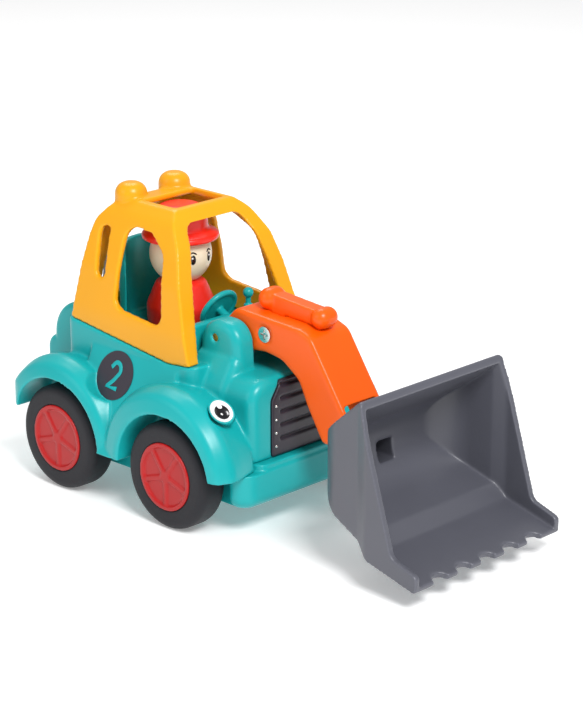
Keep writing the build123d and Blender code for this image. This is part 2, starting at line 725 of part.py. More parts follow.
def backhoe_stick():
    half = boom_half - boom_wall - slack
    stick = along_y(bar_outline(stick_pivot, stick_knee, 3.4, 3.4), -half, half, radius=3.3)
    stick += along_y(bar_outline(stick_knee, hoe_bucket_pivot, 3.4, 3.4), -half, half, radius=3.3)
    stick -= rod_y(stick_pivot, running_bore, -half - 1.0, half + 1.0)
    stick -= rod_y(hoe_bucket_pivot, pin_radius, -half - 1.0, half + 1.0)
    return stick


def hoe_bucket_points(inset):
    x, z = hoe_bucket_pivot
    points = [(-5.5 + inset, 2.5), (-12.5 + inset, -8.0), (-12.0 + inset, -19.0 + inset),
              (-3.0, -24.0 + inset), (5.5 + 8 * (inset > 0), -20.0 + inset),
              (4.5 + 8 * (inset > 0), -4.5)]
    if inset:
        points[0] = (-5.0 + inset, -4.5)
    return [(x + dx, z + dz) for dx, dz in points]


def backhoe_bucket():
    wall = 2.2
    half = hoe_bucket_half
    bucket = along_y(hoe_bucket_points(0.0), -half, half, radius=[1.0, 4.0, 5.0, 3.0, 0, 0])
    bucket -= along_y(hoe_bucket_points(wall), -half + wall, half - wall,
                      radius=[0, 3.0, 3.0, 2.0, 0, 0])
    inner = boom_half - boom_wall
    x, z = hoe_bucket_pivot
    lugs = both_sides(rod_y(hoe_bucket_pivot, 4.2, inner, inner + 2.6)
                      + block((x - 4.2, x + 4.2), (inner, inner + 2.6), (z - 5.5, z)))
    bucket += lugs
    bucket -= block((x - 30.0, x + 30.0), (-inner, inner), (z - 4.6, z + 10.0))
    bucket -= rod_y(hoe_bucket_pivot, running_bore, -half, half)
    return bucket


def boom_pin():
    return rod_y(boom_pivot, pin_radius, -hoe_gap - hoe_ear + 1.0, hoe_gap + hoe_ear - 1.0)


def stick_pin():
    return rod_y(stick_pivot, pin_radius, -boom_half, boom_half)


def hoe_bucket_pin():
    reach = boom_half - boom_wall + 2.6
    return rod_y(hoe_bucket_pivot, pin_radius, -reach, reach)


# ---------------------------------------------------------------- trim
eye_radius = 6.2
eye_place = (wheelbase + 25.8, 45.0, 35.6)
eye_facing = (0.50, 0.66, 0.56)
flare_angle = degrees(atan2(fender_bulge, flare_top - skirt))
badge_x = 29.2
badge_z = 35.9


def badge_pad(radius, thickness):
    """Disc standing on the left flare, where the number badge goes."""
    y = panel_half + (flare_top - badge_z) * tan(radians(flare_angle))
    disc = Rot(-90 + flare_angle, 0, 0) * Pos(0, 0, thickness / 2) * Cylinder(radius, thickness)
    return Pos(badge_x, y, badge_z) * disc


def eye_inserts():
    """Round white eye on each front mudguard, let into the moulding."""
    left = Plane(origin=eye_place, z_dir=eye_facing) * (Pos(0, 0, -1.6) * Cylinder(eye_radius, 4.4))
    return [left, mirror(left, Plane.XZ)]


def number_badges():
    left = badge_pad(badge_radius, badge_thickness)
    return [left, mirror(left, Plane.XZ)]


# ---------------------------------------------------------------- assembly
nodes = {
    "chassis_base": chassis_base(),
    "chassis_screws": chassis_screws(),
    "body_shell": body_shell(),
    "front_grille": front_grille(),
    "grille_rivets": grille_rivets(),
    "number_badges": number_badges(),
    "eye_inserts": eye_inserts(),
    "cab_shell": cab_shell(),
    "seat": seat(),
    "dashboard": dashboard(),
    "steering_wheel": steering_wheel(),
    "control_lever": control_lever(),
    "driver_body": driver_body(),
    "driver_head": driver_head(),
    "driver_hat": driver_hat(),
    "loader_arm": loader_arm(),
    "ram_cover": ram_cover(),
    "ram_screw": ram_screw(),
    "arm_pin": arm_pin(),
    "loader_bucket": loader_bucket(),
    "bucket_pin": bucket_pin(),
    "front_axle": axle(wheelbase),
    "rear_axle": axle(0),
    "backhoe_boom": backhoe_boom(),
    "backhoe_stick": backhoe_stick(),
    "backhoe_bucket": backhoe_bucket(),
    "boom_pin": boom_pin(),
    "stick_pin": stick_pin(),
    "backhoe_bucket_pin": hoe_bucket_pin(),
}
for end, place_x in (("rear", 0), ("front", wheelbase)):
    for hand, side in (("left", 1), ("right", -1)):
        nodes[f"{end}_{hand}_hub"] = hub(place_x, side)
        nodes[f"{end}_{hand}_tyre"] = tyre(place_x, side)


def solids_of(item):
    parts = item if isinstance(item, list) else [item]
    return [solid for part in parts for solid in part.solids()]


everything = Compound([solid for item in nodes.values() for solid in solids_of(item)])
box = everything.bounding_box()
shift = Pos(-(box.min.X + box.max.X) / 2, 0, -box.min.Z)

if __name__ == "__main__":
    os.makedirs("parts", exist_ok=True)
    for name, item in nodes.items():
        solids = [shift * solid for solid in solids_of(item)]
        export_step(solids[0] if len(solids) == 1 else Compound(solids), f"parts/{name}.step")
    print("rear axle sits at", -(box.min.X + box.max.X) / 2, -box.min.Z)
    print("size", box.size)
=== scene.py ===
"""Looks of a toy backhoe loader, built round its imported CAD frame."""
import json
import math

import bmesh
import bpy
from bpy.props import FloatProperty, FloatVectorProperty, IntProperty, PointerProperty
from mathutils import Matrix, Vector


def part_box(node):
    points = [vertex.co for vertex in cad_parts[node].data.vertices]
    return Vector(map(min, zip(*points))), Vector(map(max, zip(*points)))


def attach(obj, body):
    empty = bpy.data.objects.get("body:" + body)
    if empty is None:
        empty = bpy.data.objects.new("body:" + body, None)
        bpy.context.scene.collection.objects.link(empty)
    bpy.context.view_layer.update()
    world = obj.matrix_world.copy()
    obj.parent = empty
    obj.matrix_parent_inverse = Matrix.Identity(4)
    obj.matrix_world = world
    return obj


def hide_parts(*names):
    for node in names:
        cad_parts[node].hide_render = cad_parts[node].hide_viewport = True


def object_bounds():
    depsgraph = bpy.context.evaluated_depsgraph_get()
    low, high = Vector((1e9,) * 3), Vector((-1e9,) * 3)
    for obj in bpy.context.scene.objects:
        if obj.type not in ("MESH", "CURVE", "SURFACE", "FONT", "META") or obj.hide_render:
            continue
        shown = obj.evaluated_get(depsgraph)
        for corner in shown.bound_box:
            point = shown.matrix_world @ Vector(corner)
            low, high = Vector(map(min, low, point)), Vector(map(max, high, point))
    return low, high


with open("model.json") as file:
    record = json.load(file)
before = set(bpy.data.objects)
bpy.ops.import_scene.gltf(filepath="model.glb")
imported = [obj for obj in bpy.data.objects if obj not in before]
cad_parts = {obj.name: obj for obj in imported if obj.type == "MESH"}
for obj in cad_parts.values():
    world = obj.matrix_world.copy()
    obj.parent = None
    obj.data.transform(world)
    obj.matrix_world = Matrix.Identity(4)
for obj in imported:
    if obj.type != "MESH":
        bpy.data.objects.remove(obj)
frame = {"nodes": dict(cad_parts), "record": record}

bl_info = {
    "name": "Toy Backhoe Loader",
    "version": (1, 0, 0),
    "blender": (4, 5, 0),
    "location": "View3D > Sidebar > Toy Loader",
    "description": "Moulded shells, wheels, driver, trim and stage of a toy backhoe loader",
    "category": "Object",
}

MM = 0.001
RECORD = frame["record"]
BODY_OF = {node: body for body, nodes in RECORD["behaviour"]["bodies"].items() for node in nodes}
SLOT_OF = {part["node"]: part["material_slot"] for part in RECORD["subparts"]}
CAD_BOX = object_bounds()
WHEELS = [f"{end}_{hand}" for end in ("rear", "front") for hand in ("left", "right")]


def middle(node):
    """Centre of a CAD node's box, in metres."""
    low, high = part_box(node)
    return (low + high) / 2


REAR_AXLE = middle("rear_axle")
FRONT_AXLE = middle("front_axle")


# ---------------------------------------------------------------- colours and materials
def linear(code):
    """Turns an sRGB hex colour into linear RGB."""
    values = [int(code[i:i + 2], 16) / 255 for i in (1, 3, 5)]
    return tuple(v / 12.92 if v <= 0.04045 else ((v + 0.055) / 1.055) ** 2.4 for v in values)


def shade(colour, factor):
    """A linear RGB colour made darker or lighter, as RGBA."""
    return tuple(min(1.0, v * factor) for v in colour) + (1.0,)


def add(tree, kind, links=None, **settings):
    """Adds a node, sets its properties or input values and links its inputs."""
    node = tree.nodes.new(kind)
    for name, value in settings.items():
        label = name.replace("_", " ").title()
        if label in node.inputs:
            node.inputs[label].default_value = value
        else:
            setattr(node, name, value)
    for target, source in (links or {}).items():
        tree.links.new(source, node.inputs[target])
    return node


DRIFT_SCALE = 28.0            # colour drifts over about 35 mm
WEAR_AND_HIGHLIGHT_FROM, WEAR_AND_HIGHLIGHT_TO = 0.515, 0.60   # pointiness where an edge starts to pale and is palest; the paling is part scuffing, part painted highlight
WEAR_AND_HIGHLIGHT_MOST = 0.55


def surface(name, bands, roughness, grain, bump, shader):
    """Procedural surface: colour drifts between two bands, gloss and relief follow a grain.

    bands are the darker, base and edge colours, the edge colour a paler tone that convex edges take
    as part scuffing and part painted highlight; roughness its lowest and highest value,
    grain the relief's spacing in metres, bump its height in metres, and shader the
    Principled BSDF's own constant values.
    """
    material = bpy.data.materials.new(name)
    material.use_nodes = True
    tree = material.node_tree
    tree.nodes.clear()
    place = add(tree, "ShaderNodeTexCoord").outputs["Object"]
    drift = add(tree, "ShaderNodeTexNoise", {"Vector": place}, scale=DRIFT_SCALE, detail=2.0, roughness=0.5)
    fine = add(tree, "ShaderNodeTexNoise", {"Vector": place}, scale=1 / grain, detail=4.0, roughness=0.6)
    body = add(tree, "ShaderNodeMix", {"Factor": drift.outputs["Fac"]}, data_type="RGBA")
    for socket, value in zip([s for s in body.inputs if s.type == "RGBA"], bands[:2]):
        socket.default_value = value
    # Convex edges pale towards the edge band: part scuffing, part painted highlight.
    edge = add(tree, "ShaderNodeNewGeometry").outputs["Pointiness"]
    scuff_and_highlight_mix = add(tree, "ShaderNodeMapRange", {"Value": edge})
    scuff_and_highlight_mix.inputs["From Min"].default_value = WEAR_AND_HIGHLIGHT_FROM
    scuff_and_highlight_mix.inputs["From Max"].default_value = WEAR_AND_HIGHLIGHT_TO
    scuff_and_highlight_mix.inputs["To Max"].default_value = WEAR_AND_HIGHLIGHT_MOST
    scuffed_highlit_colour = add(tree, "ShaderNodeMix", {"Factor": scuff_and_highlight_mix.outputs["Result"]}, data_type="RGBA")
    colours = [s for s in scuffed_highlit_colour.inputs if s.type == "RGBA"]
    tree.links.new([s for s in body.outputs if s.type == "RGBA"][0], colours[0])
    colours[1].default_value = bands[2]
    gloss = add(tree, "ShaderNodeMapRange", {"Value": fine.outputs["Fac"]})
    gloss.inputs["To Min"].default_value = roughness[0]
    gloss.inputs["To Max"].default_value = roughness[1]
    relief = add(tree, "ShaderNodeBump", {"Height": fine.outputs["Fac"]}, strength=1.0, distance=bump)
    finish = add(tree, "ShaderNodeBsdfPrincipled", {
        "Base Color": [s for s in scuffed_highlit_colour.outputs if s.type == "RGBA"][0],
        "Roughness": gloss.outputs["Result"],
        "Normal": relief.outputs["Normal"],
    })
    for label, value in shader.items():
        finish.inputs[label].default_value = value
    add(tree, "ShaderNodeOutputMaterial", {"Surface": finish.outputs["BSDF"]})
    return material


def glossy_abs(name, colour):
    """Injection-moulded ABS: a soft, even gloss with faint orange peel and paler edges, part scuffing and
    part painted highlight.
    """
    bands = (shade(colour, 0.93), shade(colour, 1.04), shade(colour, 1.3))
    return surface(name, bands, (0.26, 0.36), 1.6 * MM, 0.010 * MM,
                   {"IOR": 1.53, "Specular IOR Level": 0.32})


def satin_polypropylene(name, colour):
    """Polypropylene: waxy satin skin whose convex edges turn pale, part scuffing where they scrape the
    ground and part painted highlight.
    """
    bands = (shade(colour, 0.9), shade(colour, 1.08), shade(colour, 1.9))
    return surface(name, bands, (0.30, 0.42), 0.9 * MM, 0.014 * MM, {"IOR": 1.49})


def tyre_rubber(name, colour):
    """Moulded PVC rubber: matt, slightly dusty black with a fine pebble, its convex edges paler with dust
    and a painted highlight.
    """
    bands = (shade(colour, 0.8), shade(colour, 1.25), shade(colour, 1.9))
    return surface(name, bands, (0.5, 0.68), 0.7 * MM, 0.02 * MM,
                   {"IOR": 1.52, "Specular IOR Level": 0.35})


def soft_vinyl(name, colour):
    """Rotocast doll vinyl: soft gloss with a little light bleeding through."""
    # The last band paints convex edges paler: part scuffing, part painted highlight.
    bands = (shade(colour, 0.94), shade(colour, 1.05), shade(colour, 1.15))
    return surface(name, bands, (0.28, 0.38), 1.2 * MM, 0.008 * MM,
                   {"IOR": 1.5, "Subsurface Weight": 0.08, "Subsurface Scale": 1.5 * MM})


def zinc_steel(name, colour):
    """Zinc-plated steel: bright grey with a fine drawn grain and soft reflections."""
    # The last band paints convex edges paler: part scuffing, part painted highlight.
    bands = (shade(colour, 0.8), shade(colour, 1.05), shade(colour, 1.3))
    return surface(name, bands, (0.14, 0.28), 0.5 * MM, 0.006 * MM, {"Metallic": 1.0})


def gloss_enamel(name, colour):
    """Pad-printed enamel: thin and shiny, without edge wear."""
    bands = (shade(colour, 0.95), shade(colour, 1.0), shade(colour, 1.05))
    return surface(name, bands, (0.12, 0.2), 1.0 * MM, 0.004 * MM, {"IOR": 1.5})


FINISHES = {
    "teal_abs": glossy_abs,
    "yellow_abs": glossy_abs,
    "orange_abs": glossy_abs,
    "red_abs": glossy_abs,
    "white_abs": gloss_enamel,
    "charcoal_abs": satin_polypropylene,
    "grey_pp": satin_polypropylene,
    "tyre_rubber": tyre_rubber,
    "doll_red": soft_vinyl,
    "doll_cream": soft_vinyl,
    "zinc_steel": zinc_steel,
    "black_enamel": gloss_enamel,
}
MATERIALS = {}


def finish_of(slot):
    """The material of one of the record's slots, made on first use from its colour."""
    if slot not in MATERIALS:
        MATERIALS[slot] = FINISHES[slot](slot, getattr(bpy.context.scene.toy_colours, slot))
    return MATERIALS[slot]


# ---------------------------------------------------------------- mesh helpers
def new_piece(name, mesh, slot, body, replaced=()):
    """Puts a finished mesh in the scene with its finish, on its body."""
    mesh.materials.clear()
    mesh.materials.append(finish_of(slot))
    mesh.shade_smooth()
    piece = bpy.data.objects.new(name, mesh)
    bpy.context.scene.collection.objects.link(piece)
    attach(piece, body)
    if replaced:
        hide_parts(*replaced)


def settled(scratch):
    """The scratch object's mesh with its modifiers applied; the object is removed."""
    graph = bpy.context.evaluated_depsgraph_get()
    mesh = bpy.data.meshes.new_from_object(scratch.evaluated_get(graph))
    bpy.data.objects.remove(scratch)
    return mesh


def scratch_object(mesh):
    """A passing object that carries modifiers or a curve until it is settled."""
    scratch = bpy.data.objects.new("scratch", mesh)
    bpy.context.scene.collection.objects.link(scratch)
    return scratch


def welded(node):
    """A copy of a CAD node's mesh with its loose triangles joined."""
    mesh = frame["nodes"][node].data.copy()
    work = bmesh.new()
    work.from_mesh(mesh)
    bmesh.ops.remove_doubles(work, verts=work.verts, dist=1e-6)
    work.to_mesh(mesh)
    work.free()
    return mesh


def moulded(node, cell, rounds, most=190000):
    """Replaces a CAD node by a copy whose edges are rounded as a mould leaves them.

    cell is the remeshing cell in millimetres, rounds the number of smoothing passes
    that wear the edges round, and most the largest number of triangles.
    """
    scratch = scratch_object(welded(node))
    cells = scratch.modifiers.new("cells", "REMESH")
    cells.mode = "VOXEL"
    cells.voxel_size = cell * MM
    soften = scratch.modifiers.new("soften", "SMOOTH")
    soften.factor = 0.5
    soften.iterations = rounds
    mesh = settled(scratch)
    triangles = sum(len(face.vertices) - 2 for face in mesh.polygons)
    if triangles > most:
        scratch = scratch_object(mesh)
        thin = scratch.modifiers.new("thin", "DECIMATE")
        thin.ratio = most / triangles
        mesh = settled(scratch)
    new_piece(f"{node}_moulding", mesh, SLOT_OF[node], BODY_OF[node], [node])


def refinish(*nodes):
    """Gives CAD nodes that keep their shape their detailed material."""
    for node in nodes:
        materials = frame["nodes"][node].data.materials
        for index in range(len(materials)):
            materials[index] = finish_of(SLOT_OF[node])


def lathe(outline, steps):
    """Mesh turned about +Z from (radius, height) pairs in metres, both ends on the axis."""
    work = bmesh.new()
    rings = []
    for radius, height in outline:
        if radius == 0:
            rings.append([work.verts.new((0, 0, height))])
            continue
        rings.append([work.verts.new((radius * math.cos(math.tau * k / steps),
                                      radius * math.sin(math.tau * k / steps), height))
                      for k in range(steps)])
    for low, high in zip(rings, rings[1:]):
        for k in range(steps):
            corners = [low[k % len(low)], low[(k + 1) % len(low)],
                       high[(k + 1) % len(high)], high[k % len(high)]]
            work.faces.new(list(dict.fromkeys(corners)))
    bmesh.ops.recalc_face_normals(work, faces=work.faces)
    mesh = bpy.data.meshes.new("turned")
    work.to_mesh(mesh)
    work.free()
    return mesh


def dome(radius, height, rim, steps, rings):
    """Shallow button: a flat foot, a short rim and a quarter-ellipse top."""
    outline = [(0, -rim), (radius, -rim)]
    for k in range(rings + 1):
        angle = math.pi / 2 * k / rings
        outline.append((radius * math.cos(angle) if k < rings else 0, height * math.sin(angle)))
    return lathe(outline, steps)


def heading(azimuth, rise):
    """Unit vector at an azimuth from +X and an elevation, in radians."""
    return Vector((math.cos(azimuth) * math.cos(rise), math.sin(azimuth) * math.cos(rise), math.sin(rise)))


def facing(place, normal):
    """Matrix that stands +Z of a mesh on place along normal, with +Y nearest to upright."""
    z = Vector(normal).normalized()
    x = Vector((0, 0, 1)).cross(z).normalized()
    y = z.cross(x)
    turned = Matrix((x, y, z)).transposed().to_4x4()
    return Matrix.Translation(place) @ turned


def placed(mesh, matrix):
    """The mesh, moved and turned by the matrix."""
    mesh.transform(matrix)
    return mesh


# ---------------------------------------------------------------- sizes and colours a user would change
def colour(label, code):
    """Colour property with its sRGB default."""
    return FloatVectorProperty(name=label, description=f"Colour of the {label.lower()}",
                               default=linear(code), subtype="COLOR", size=3, min=0.0, max=1.0)


class LoaderColours(bpy.types.PropertyGroup):
    teal_abs: colour("Body and chassis", "#13A8AA")
    yellow_abs: colour("Cab", "#EDA410")
    orange_abs: colour("Loader arm", "#F75E05")
    red_abs: colour("Hubs", "#B01819")
    white_abs: colour("Whites of the eyes", "#F4F4F2")
    charcoal_abs: colour("Grille and badges", "#2F2A33")
    grey_pp: colour("Bucket and backhoe", "#55565F")
    tyre_rubber: colour("Tyres", "#1A1A20")
    doll_red: colour("Driver's clothes", "#F0281C")
    doll_cream: colour("Driver's head", "#EBDFC4")
    zinc_steel: colour("Pins and screws", "#DAD8D4")
    black_enamel: colour("Painted pupils", "#141316")


class LoaderLooks(bpy.types.PropertyGroup):
    shell_cell: FloatProperty(name="Shell cell", description="Remeshing cell of the large mouldings, mm",
                              default=0.65, min=0.4, max=2.0)
    small_cell: FloatProperty(name="Small cell", description="Remeshing cell of the small mouldings, mm",
                              default=0.5, min=0.3, max=1.0)
    edge_rounds: IntProperty(name="Edge rounding", description="Smoothing passes on moulded edges",
                             default=8, min=0, max=30)
    numeral_height: FloatProperty(name="Numeral height", description="Height of the number on the doors",
                                  default=14.5 * MM, unit="LENGTH")
    pupil_radius: FloatProperty(name="Pupil radius", description="Radius of the painted pupils",
                                default=4.1 * MM, unit="LENGTH")
    rivet_radius: FloatProperty(name="Rivet radius", description="Radius of the grille's rivets",
                                default=0.8 * MM, unit="LENGTH")
    floor_colour: FloatVectorProperty(name="Floor", description="Colour of the stage floor",
                                      default=(0.93, 0.93, 0.93), subtype="COLOR", size=3)


def looks():
    """The add-on's sizes."""
    return bpy.context.scene.toy_loader


# ---------------------------------------------------------------- pieces
class MouldShells(bpy.types.Operator):
    """Round the edges of the body, cab and chassis mouldings"""
    bl_idname = "toy_loader.shells"
    bl_label = "Body, Cab and Chassis"

    def execute(self, context):
        cell = looks().shell_cell
        moulded("body_shell", cell, looks().edge_rounds + 4)
        moulded("cab_shell", cell, looks().edge_rounds + 2)
        moulded("chassis_base", cell, looks().edge_rounds, 90000)
        refinish("chassis_screws", "arm_pin", "boom_pin")
        return {"FINISHED"}


class MouldLoader(bpy.types.Operator):
    """Round the edges of the loader arm, its ram cover and the bucket"""
    bl_idname = "toy_loader.loader"
    bl_label = "Loader Arm and Bucket"

    def execute(self, context):
        cell = looks().small_cell
        moulded("loader_arm", cell * 1.3, looks().edge_rounds + 4, 120000)
        moulded("ram_cover", cell, looks().edge_rounds + 8, 60000)
        moulded("loader_bucket", cell * 1.2, looks().edge_rounds - 2)
        refinish("ram_screw", "bucket_pin")
        return {"FINISHED"}


class MouldCabin(bpy.types.Operator):
    """Seat, console, steering wheel and lever inside the cab"""
    bl_idname = "toy_loader.cabin"
    bl_label = "Cabin"

    def execute(self, context):
        cell = looks().small_cell
        for node in ("seat", "dashboard"):
            moulded(node, cell * 1.3, looks().edge_rounds, 60000)
        for node in ("steering_wheel", "control_lever"):
            moulded(node, cell * 0.7, looks().edge_rounds // 2, 40000)
        return {"FINISHED"}


class MouldDriver(bpy.types.Operator):
    """Driver doll with a painted face"""
    bl_idname = "toy_loader.driver"
    bl_label = "Driver"

    eye_turn = 20.0
    eye_rise = -1.0
    brow_rise = 11.0

    def execute(self, context):
        cell = looks().small_cell
        for node in ("driver_body", "driver_head", "driver_hat"):
            moulded(node, cell * 1.2, looks().edge_rounds // 2, 60000)
        low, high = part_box("driver_head")
        radius = (high.x - low.x) / 2
        centre = Vector(((low.x + high.x) / 2, 0, high.z - radius))
        for side, hand in ((1, "left"), (-1, "right")):
            turn = math.radians(side * self.eye_turn)
            rise = math.radians(self.eye_rise)
            normal = heading(turn, rise)
            eye = dome(1.5 * MM, 0.5 * MM, 0.6 * MM, 32, 6)
            eye.transform(Matrix.Diagonal((1.0, 1.6, 1.0, 1.0)))
            place = facing(centre + normal * (radius - 0.1 * MM), normal)
            new_piece(f"driver_eye_{hand}", placed(eye, place), "black_enamel", "chassis")
            glint = dome(0.5 * MM, 0.25 * MM, 0.3 * MM, 20, 4)
            glint.transform(Matrix.Translation((-0.5 * MM, 0.9 * MM, 0.4 * MM)))
            new_piece(f"driver_glint_{hand}", placed(glint, place), "white_abs", "chassis")
            self.brow(centre, radius, side, hand)
        return {"FINISHED"}

    def brow(self, centre, radius, side, hand):
        """Short painted arc above an eye."""
        curve = bpy.data.curves.new("brow", "CURVE")
        curve.dimensions = "3D"
        curve.bevel_depth = 0.35 * MM
        curve.bevel_resolution = 4
        curve.use_fill_caps = True
        line = curve.splines.new("BEZIER")
        line.bezier_points.add(2)
        for point, (turn, rise) in zip(line.bezier_points, ((-7, -2), (0, 1.5), (7, -1))):
            azimuth = math.radians(side * (self.eye_turn + turn))
            height = math.radians(self.brow_rise + rise)
            point.co = centre + heading(azimuth, height) * (radius + 0.05 * MM)
            point.handle_left_type = point.handle_right_type = "AUTO"
        mesh = settled(scratch_object(curve))
        new_piece(f"driver_brow_{hand}", mesh, "black_enamel", "chassis")


class MouldWheels(bpy.types.Operator):
    """Red hubs and rubber tyres"""
    bl_idname = "toy_loader.wheels"
    bl_label = "Wheels"

    def execute(self, context):
        for wheel in WHEELS:
            moulded(f"{wheel}_hub", looks().small_cell, 3, 60000)
            moulded(f"{wheel}_tyre", looks().small_cell * 1.4, 4, 50000)
        refinish("front_axle", "rear_axle")
        return {"FINISHED"}


class MouldBackhoe(bpy.types.Operator):
    """Folded digger at the back"""
    bl_idname = "toy_loader.backhoe"
    bl_label = "Backhoe"

    def execute(self, context):
        for node in ("backhoe_boom", "backhoe_stick", "backhoe_bucket"):
            moulded(node, looks().small_cell, 6, 50000)
        refinish("stick_pin", "backhoe_bucket_pin")
        return {"FINISHED"}


class AddTrim(bpy.types.Operator):
    """Grille with its rivets, number badges and mudguard eyes"""
    bl_idname = "toy_loader.trim"
    bl_label = "Grille, Badges and Eyes"

    flare_out, flare_down = 20.0, 46.6        # slope of the side panel, mm
    badge_thickness = 0.4 * MM
    eye_ahead = (25.8, 45.0, 35.6)            # from the front axle's middle, mm
    eye_facing = (0.50, 0.66, 0.56)
    eye_slant = 38
    eye_oval = (1.0, 0.72, 1.0, 1.0)
    rivet_rows, rivet_overlap = 4, 2.2 * MM
    figure_two = ((-0.22, 0.24), (0.0, 0.43), (0.22, 0.22), (0.1, -0.06), (-0.22, -0.42), (0.25, -0.42))
    glints = (("glint", 1.3, (2.0, 0.9, 1.5)), ("spark", 0.55, (-1.5, -1.1, 1.5)))

    def execute(self, context):
        moulded("front_grille", looks().small_cell, 3, 60000)
        self.rivets()
        refinish("number_badges")
        for side, hand in ((1, "left"), (-1, "right")):
            self.numeral(side, hand)
            self.eye(side, hand)
        return {"FINISHED"}

    def rivets(self):
        """Rows of dome rivets down both edges of the grille, from Geometry Nodes."""
        low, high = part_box("grille_rivets")
        tree = bpy.data.node_groups.new("rivet_rows", "GeometryNodeTree")
        face = tree.interface
        face.new_socket(name="Geometry", in_out="INPUT", socket_type="NodeSocketGeometry")
        radius = looks().rivet_radius
        sizes = {"Across": high.y - low.y - 2 * radius, "Height": high.z - low.z - self.rivet_overlap,
                 "Radius": radius}
        sockets = {name: face.new_socket(name=name, in_out="INPUT", socket_type="NodeSocketFloat")
                   for name in sizes}
        face.new_socket(name="Geometry", in_out="OUTPUT", socket_type="NodeSocketGeometry")
        given = add(tree, "NodeGroupInput")
        grid = add(tree, "GeometryNodeMeshGrid", {"Size X": given.outputs["Height"],
                                                  "Size Y": given.outputs["Across"]},
                   vertices_x=self.rivet_rows, vertices_y=2)
        ball = add(tree, "GeometryNodeMeshUVSphere", {"Radius": given.outputs["Radius"]},
                   segments=24, rings=12)
        copies = add(tree, "GeometryNodeInstanceOnPoints", {"Points": grid.outputs["Mesh"],
                                                            "Instance": ball.outputs["Mesh"]})
        real = add(tree, "GeometryNodeRealizeInstances", {"Geometry": copies.outputs["Instances"]})
        coat = add(tree, "GeometryNodeSetMaterial", {"Geometry": real.outputs["Geometry"]},
                   material=finish_of("zinc_steel"))
        add(tree, "NodeGroupOutput", {"Geometry": coat.outputs["Geometry"]})
        scratch = scratch_object(bpy.data.meshes.new("seed"))
        rows = scratch.modifiers.new("rows", "NODES")
        rows.node_group = tree
        for name, value in sizes.items():
            rows[sockets[name].identifier] = value
        mesh = settled(scratch)
        centre = Vector((low.x, 0, (low.z + high.z) / 2))
        turned = Matrix.Translation(centre) @ Matrix.Rotation(math.radians(-90), 4, "Y")
        new_piece("grille_rivet_rows", placed(mesh, turned), "zinc_steel", "chassis",
                  ["grille_rivets"])

    def numeral(self, side, hand):
        """Raised number on the door's round badge."""
        slope = math.atan2(self.flare_out, self.flare_down)
        thickness = self.badge_thickness
        low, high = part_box("number_badges")
        radius = (high.x - low.x) / 2
        spread = high.y - radius * math.sin(slope) - thickness * math.cos(slope)
        normal = Vector((0, side * math.cos(slope), math.sin(slope)))
        centre = Vector(((low.x + high.x) / 2, side * spread, (low.z + high.z) / 2))
        mesh = self.stroke()
        place = facing(centre + normal * (thickness + 0.1 * MM), normal)
        new_piece(f"door_number_{hand}", placed(mesh, place), "teal_abs", "chassis")

    def stroke(self):
        """Figure 2 drawn with one soft, round-ended stroke of even width."""
        height = looks().numeral_height
        curve = bpy.data.curves.new("numeral", "CURVE")
        curve.dimensions = "3D"
        curve.bevel_depth = 0.075 * height
        curve.bevel_resolution = 6
        curve.resolution_u = 16
        curve.use_fill_caps = True
        line = curve.splines.new("BEZIER")
        line.bezier_points.add(len(self.figure_two) - 1)
        for point, (x, y) in zip(line.bezier_points, self.figure_two):
            point.co = (x * height, y * height, 0)
            point.handle_left_type = point.handle_right_type = "AUTO"
        for corner in line.bezier_points[-2:]:
            corner.handle_left_type = corner.handle_right_type = "VECTOR"
        mesh = settled(scratch_object(curve))
        mesh.transform(Matrix.Diagonal((1.0, 1.0, 0.2, 1.0)))
        return mesh

    def eye(self, side, hand):
        """White eye with a black pupil and two glints, on an oval boss on the mudguard."""
        mirrored = Vector((1, side, 1))
        normal = (Vector(self.eye_facing) * mirrored).normalized()
        place = FRONT_AXLE + Vector(self.eye_ahead) * mirrored * MM
        slant = Matrix.Rotation(math.radians(side * self.eye_slant), 4, "Z")
        oval = Matrix.Diagonal(self.eye_oval)
        stand = facing(place + normal * 0.5 * MM, normal) @ slant
        name = f"mudguard_eye_{hand}"
        boss = dome(6.9 * MM, 0.9 * MM, 3.5 * MM, 64, 14)
        replaced = ["eye_inserts"] if side > 0 else []
        new_piece(f"{name}_boss", placed(boss, stand @ oval), "teal_abs", "chassis")
        white = dome(6.1 * MM, 1.4 * MM, 3.5 * MM, 64, 14)
        stand = stand @ Matrix.Translation((0, 0, 0.5 * MM))
        new_piece(name, placed(white, stand @ oval), "white_abs", "chassis", replaced)
        pupil = dome(looks().pupil_radius, 0.75 * MM, 0.6 * MM, 48, 10)
        ahead = Matrix.Translation((side * -0.7 * MM, -0.2 * MM, 0.95 * MM)) @ oval
        new_piece(f"{name}_pupil", placed(pupil, stand @ ahead), "black_enamel", "chassis")
        for part, size, (x, y, z) in self.glints:
            dot = dome(size * MM, 0.35 * MM, 0.4 * MM, 32, 6)
            put = Matrix.Translation(Vector((side * x, y, z)) * MM) @ Matrix.Diagonal((1.3, 0.75, 1.0, 1.0))
            new_piece(f"{name}_{part}", placed(dot, stand @ put), "white_abs", "chassis")


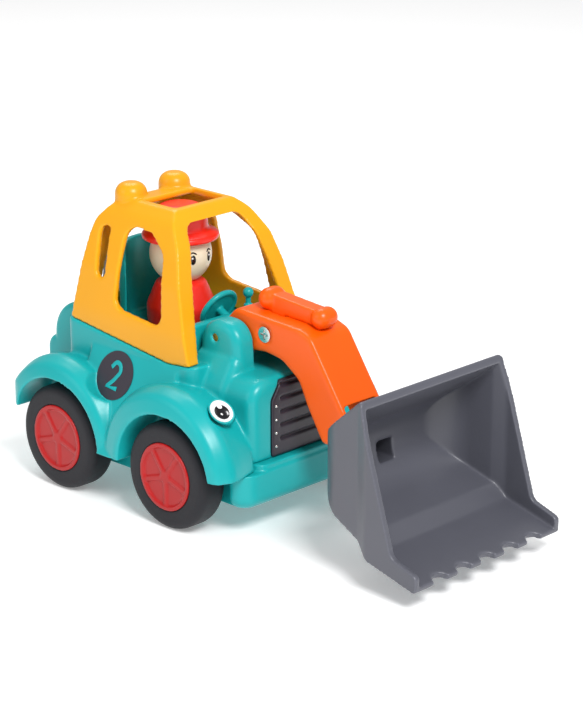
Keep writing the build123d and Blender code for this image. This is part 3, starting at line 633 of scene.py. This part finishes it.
class SetStage(bpy.types.Operator):
    """Pale floor, soft studio light and the camera"""
    bl_idname = "toy_loader.stage"
    bl_label = "Stage"

    yaw = 45.86
    pitch = 18.34
    lens = 125.08
    stand_off = Vector((879.49, -799.83, 419.62))   # from the rear axle's middle, mm
    reach = 6.0                                     # half of the floor's side, metres
    glow = 0.22                                     # keeps the far floor as pale as the near
    sky_strength = 0.42
    lamps = (                                       # name, place from the toy's middle, side, watts
        ("key", (0.98, -0.42, 1.1), 0.5, 21.0),
        ("fill", (-0.5, -1.3, 0.7), 0.9, 3.0),
        ("back", (-0.7, 0.5, 1.3), 0.8, 9.0),
    )

    def execute(self, context):
        self.floor()
        self.camera()
        self.lights()
        context.scene.view_settings.view_transform = "Standard"
        return {"FINISHED"}

    def floor(self):
        """Matt paper under and behind the toy."""
        mesh = bpy.data.meshes.new("floor")
        corners = [(x * self.reach, y * self.reach, 0) for x, y in ((-1, -1), (1, -1), (1, 1), (-1, 1))]
        mesh.from_pydata(corners, [], [(0, 1, 2, 3)])
        material = bpy.data.materials.new("matt_backdrop_paper")
        material.use_nodes = True
        shader = material.node_tree.nodes["Principled BSDF"]
        shader.inputs["Base Color"].default_value = (*looks().floor_colour, 1.0)
        shader.inputs["Roughness"].default_value = 0.9
        shader.inputs["Emission Color"].default_value = (1.0, 1.0, 1.0, 1.0)
        shader.inputs["Emission Strength"].default_value = self.glow
        mesh.materials.append(material)
        floor = bpy.data.objects.new("floor", mesh)
        bpy.context.scene.collection.objects.link(floor)

    def camera(self):
        """Long lens from the toy's front right, looking a little down."""
        data = bpy.data.cameras.new("camera")
        data.sensor_width = 36.0
        data.lens = self.lens
        data.clip_start = 0.05
        data.clip_end = 50.0
        camera = bpy.data.objects.new("camera", data)
        camera.location = REAR_AXLE + self.stand_off * MM
        ahead = heading(math.pi - math.radians(self.yaw), -math.radians(self.pitch))
        camera.rotation_mode = "QUATERNION"
        camera.rotation_quaternion = ahead.to_track_quat("-Z", "Y")
        bpy.context.scene.collection.objects.link(camera)
        bpy.context.scene.camera = camera

    def lights(self):
        """Three soft boxes and a white surround."""
        centre = (CAD_BOX[0] + CAD_BOX[1]) / 2
        for name, place, size, power in self.lamps:
            data = bpy.data.lights.new(name, "AREA")
            data.size = size
            data.energy = power
            light = bpy.data.objects.new(name, data)
            light.location = centre + Vector(place)
            light.rotation_mode = "QUATERNION"
            light.rotation_quaternion = (-Vector(place)).to_track_quat("-Z", "Y")
            bpy.context.scene.collection.objects.link(light)
        world = bpy.data.worlds.new("studio")
        world.use_nodes = True
        sky = world.node_tree.nodes["Background"]
        sky.inputs["Color"].default_value = (1.0, 1.0, 1.0, 1.0)
        sky.inputs["Strength"].default_value = self.sky_strength
        bpy.context.scene.world = world


OPERATORS = (MouldShells, MouldLoader, MouldCabin, MouldDriver, MouldWheels, MouldBackhoe, AddTrim,
             SetStage)


class LoaderPanel(bpy.types.Panel):
    """Sizes, colours and pieces in the 3D view's sidebar"""
    bl_idname = "VIEW3D_PT_toy_loader"
    bl_label = "Toy Backhoe Loader"
    bl_space_type = "VIEW_3D"
    bl_region_type = "UI"
    bl_category = "Toy Loader"

    def draw(self, context):
        for name in LoaderLooks.__annotations__:
            self.layout.prop(context.scene.toy_loader, name)
        for name in LoaderColours.__annotations__:
            self.layout.prop(context.scene.toy_colours, name)
        for operator in OPERATORS:
            self.layout.operator(operator.bl_idname)


CLASSES = (LoaderLooks, LoaderColours, *OPERATORS, LoaderPanel)


def register():
    for item in CLASSES:
        bpy.utils.register_class(item)
    bpy.types.Scene.toy_loader = PointerProperty(type=LoaderLooks)
    bpy.types.Scene.toy_colours = PointerProperty(type=LoaderColours)


def unregister():
    del bpy.types.Scene.toy_colours
    del bpy.types.Scene.toy_loader
    for item in reversed(CLASSES):
        bpy.utils.unregister_class(item)


def main():
    register()
    pieces = bpy.ops.toy_loader
    for build in (pieces.shells, pieces.loader, pieces.cabin, pieces.driver, pieces.wheels,
                  pieces.backhoe, pieces.trim, pieces.stage):
        build()


if __name__ == "__main__":
    main()
